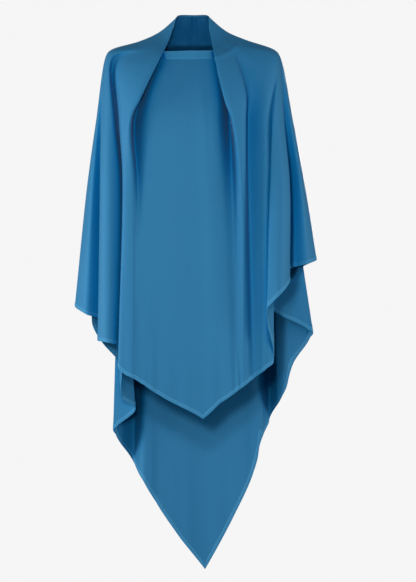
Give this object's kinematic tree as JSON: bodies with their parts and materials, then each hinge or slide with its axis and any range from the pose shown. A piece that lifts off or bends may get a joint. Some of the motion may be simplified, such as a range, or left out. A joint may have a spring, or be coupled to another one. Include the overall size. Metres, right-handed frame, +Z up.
{
  "type": "khimar veil",
  "caption": "Long pointed khimar veil of thin crepe as worn on the shoulders, with a standing hood, a chin band, side pleats and a longer pointed back.",
  "frame": {"origin": "between the shoulders at the height of their tops, where the veil sits on the wearer", "axes": "+Z up, -Y towards the front, +X towards the right as the front is seen"},
  "size_m": [0.5781, 0.3096, 1.3392],
  "materials": {
    "crepe": "soft satin crepe",
    "crepe_band": "doubled satin crepe",
    "crepe_hem": "rolled and stitched crepe"
  },
  "bodies": {
    "root": {"chin_band": "crepe_band", "hood": "crepe", "front_veil": "crepe", "back_veil": "crepe", "front_hem": "crepe_hem", "back_hem": "crepe_hem"}
  },
  "joints": []
}
